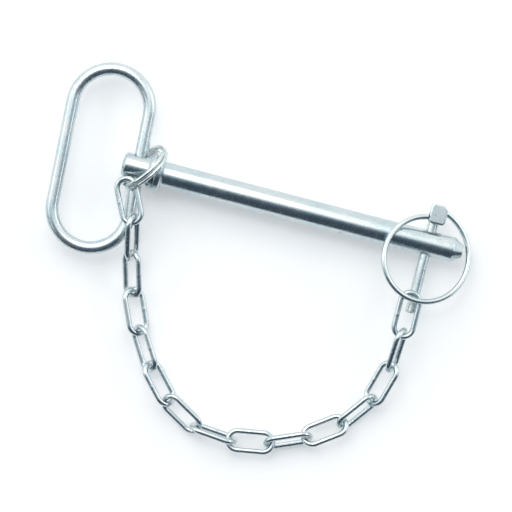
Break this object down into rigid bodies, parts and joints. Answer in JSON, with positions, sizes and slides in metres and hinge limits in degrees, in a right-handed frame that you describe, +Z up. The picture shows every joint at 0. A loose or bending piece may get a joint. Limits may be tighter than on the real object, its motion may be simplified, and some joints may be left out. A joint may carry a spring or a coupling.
{
  "type": "hitch pin",
  "caption": "Steel hitch pin with a swinging oblong grip handle, tethered by a welded chain to a linch pin whose spring ring closes over the pin's end.",
  "frame": {"origin": "centre of the pin head's flat end face, on the pin's axis", "axes": "+X along the pin from the head to the tip, +Y along the linch pin towards its head, +Z up from the bench"},
  "size_m": [0.2694, 0.2167, 0.0339],
  "materials": {
    "plated_bar": "zinc-plated bright drawn bar",
    "plated_rod": "zinc-plated bent rod",
    "plated_wire": "zinc-plated spring wire, glossy",
    "plated_forging": "zinc-plated forging, slightly dull",
    "plated_chain": "zinc-plated welded chain"
  },
  "bodies": {
    "pin": {"pin_body": "plated_bar", "stop_collar": "plated_bar"},
    "handle": {"grip_handle": "plated_rod"},
    "split_ring": {"split_ring": "plated_wire"},
    "linch_pin": {"linch_pin": "plated_forging"},
    "linch_ring": {"linch_ring": "plated_wire"},
    "chain_link_01": {"chain_link_01": "plated_chain"},
    "chain_link_02": {"chain_link_02": "plated_chain"},
    "chain_link_03": {"chain_link_03": "plated_chain"},
    "chain_link_04": {"chain_link_04": "plated_chain"},
    "chain_link_05": {"chain_link_05": "plated_chain"},
    "chain_link_06": {"chain_link_06": "plated_chain"},
    "chain_link_07": {"chain_link_07": "plated_chain"},
    "chain_link_08": {"chain_link_08": "plated_chain"},
    "chain_link_09": {"chain_link_09": "plated_chain"},
    "chain_link_10": {"chain_link_10": "plated_chain"},
    "chain_link_11": {"chain_link_11": "plated_chain"},
    "chain_link_12": {"chain_link_12": "plated_chain"},
    "chain_link_13": {"chain_link_13": "plated_chain"},
    "chain_link_14": {"chain_link_14": "plated_chain"},
    "chain_link_15": {"chain_link_15": "plated_chain"}
  },
  "joints": [
    {"name": "handle_swing", "type": "hinge", "parent": "pin", "child": "handle", "pos_m": [0.01, 0, 0], "axis": [-0.0576, 0.9983, 0], "range_deg": [-90, 50]},
    {"name": "split_ring_turn", "type": "hinge", "parent": "pin", "child": "split_ring", "pos_m": [0.0134, 0.0011, 0.0024], "axis": [0.7787, -0.5033, -0.3746], "continuous": true},
    {"name": "linch_pin_pull", "type": "slide", "parent": "pin", "child": "linch_pin", "axis": [0, 1, 0], "range_m": [0, 0.06]},
    {"name": "linch_ring_swing", "type": "hinge", "parent": "linch_pin", "child": "linch_ring", "pos_m": [0.19781, 0.01831, 0.00148], "axis": [-0.8892, -0.3724, 0.2659], "range_deg": [0, 111]},
    {"name": "chain_link_01_roll", "type": "hinge", "parent": "pin", "child": "chain_link_01", "pos_m": [0.00988, -0.02139, 0.00741], "axis": [0.443, -0.8961, 0.0257], "range_deg": [-10, 2]},
    {"name": "chain_link_02_roll", "type": "hinge", "parent": "pin", "child": "chain_link_02", "pos_m": [0.01731, -0.04294, 0.00339], "axis": [0.1804, -0.914, -0.3633], "range_deg": [-1.5, 5]},
    {"name": "chain_link_03_roll", "type": "hinge", "parent": "pin", "child": "chain_link_03", "pos_m": [0.02262, -0.06503, -0.00345], "axis": [0.2653, -0.9406, -0.2117], "range_deg": [-8, 8]},
    {"name": "chain_link_04_roll", "type": "hinge", "parent": "pin", "child": "chain_link_04", "pos_m": [0.03065, -0.08713, -0.00609], "axis": [0.4078, -0.913, -0.0097], "range_deg": [-8, 8]},
    {"name": "chain_link_05_roll", "type": "hinge", "parent": "pin", "child": "chain_link_05", "pos_m": [0.04181, -0.10816, -0.0062], "axis": [0.5278, -0.8494, 0.0003], "range_deg": [-8, 8]},
    {"name": "chain_link_06_roll", "type": "hinge", "parent": "pin", "child": "chain_link_06", "pos_m": [0.05618, -0.1271, -0.0062], "axis": [0.6758, -0.7371, 0], "range_deg": [-8, 8]},
    {"name": "chain_link_07_roll", "type": "hinge", "parent": "pin", "child": "chain_link_07", "pos_m": [0.07455, -0.14178, -0.0062], "axis": [0.8681, -0.4964, 0], "range_deg": [-8, 8]},
    {"name": "chain_link_08_roll", "type": "hinge", "parent": "pin", "child": "chain_link_08", "pos_m": [0.09671, -0.14872, -0.0062], "axis": [0.9962, -0.0868, 0], "range_deg": [-7, 8]},
    {"name": "chain_link_09_roll", "type": "hinge", "parent": "pin", "child": "chain_link_09", "pos_m": [0.12032, -0.14778, -0.0062], "axis": [0.9863, 0.1653, 0], "range_deg": [-8, 8]},
    {"name": "chain_link_10_roll", "type": "hinge", "parent": "pin", "child": "chain_link_10", "pos_m": [0.14304, -0.1411, -0.0062], "axis": [0.9189, 0.3945, 0], "range_deg": [-8, 8]},
    {"name": "chain_link_11_roll", "type": "hinge", "parent": "pin", "child": "chain_link_11", "pos_m": [0.16364, -0.1294, -0.0062], "axis": [0.8093, 0.5874, -0.0004], "range_deg": [-8, 8]},
    {"name": "chain_link_12_roll", "type": "hinge", "parent": "pin", "child": "chain_link_12", "pos_m": [0.18036, -0.11285, -0.00616], "axis": [0.5954, 0.8034, 0.0042], "range_deg": [-8, 8]},
    {"name": "chain_link_13_roll", "type": "hinge", "parent": "pin", "child": "chain_link_13", "pos_m": [0.19057, -0.0919, -0.00491], "axis": [0.2635, 0.9593, 0.1013], "range_deg": [-8, 8]},
    {"name": "chain_link_14_roll", "type": "hinge", "parent": "pin", "child": "chain_link_14", "pos_m": [0.1941, -0.06936, 0.00056], "axis": [0.0333, 0.9336, 0.3568], "range_deg": [-3, 8]},
    {"name": "chain_link_15_roll", "type": "hinge", "parent": "pin", "child": "chain_link_15", "pos_m": [0.19435, -0.04631, 0.00536], "axis": [-0.0123, 0.9989, 0.0456], "range_deg": [-5, 3]}
  ],
  "couplings": [
    {"joint": "linch_ring_swing", "follows": "linch_pin_pull", "rad_per_m": 32}
  ]
}
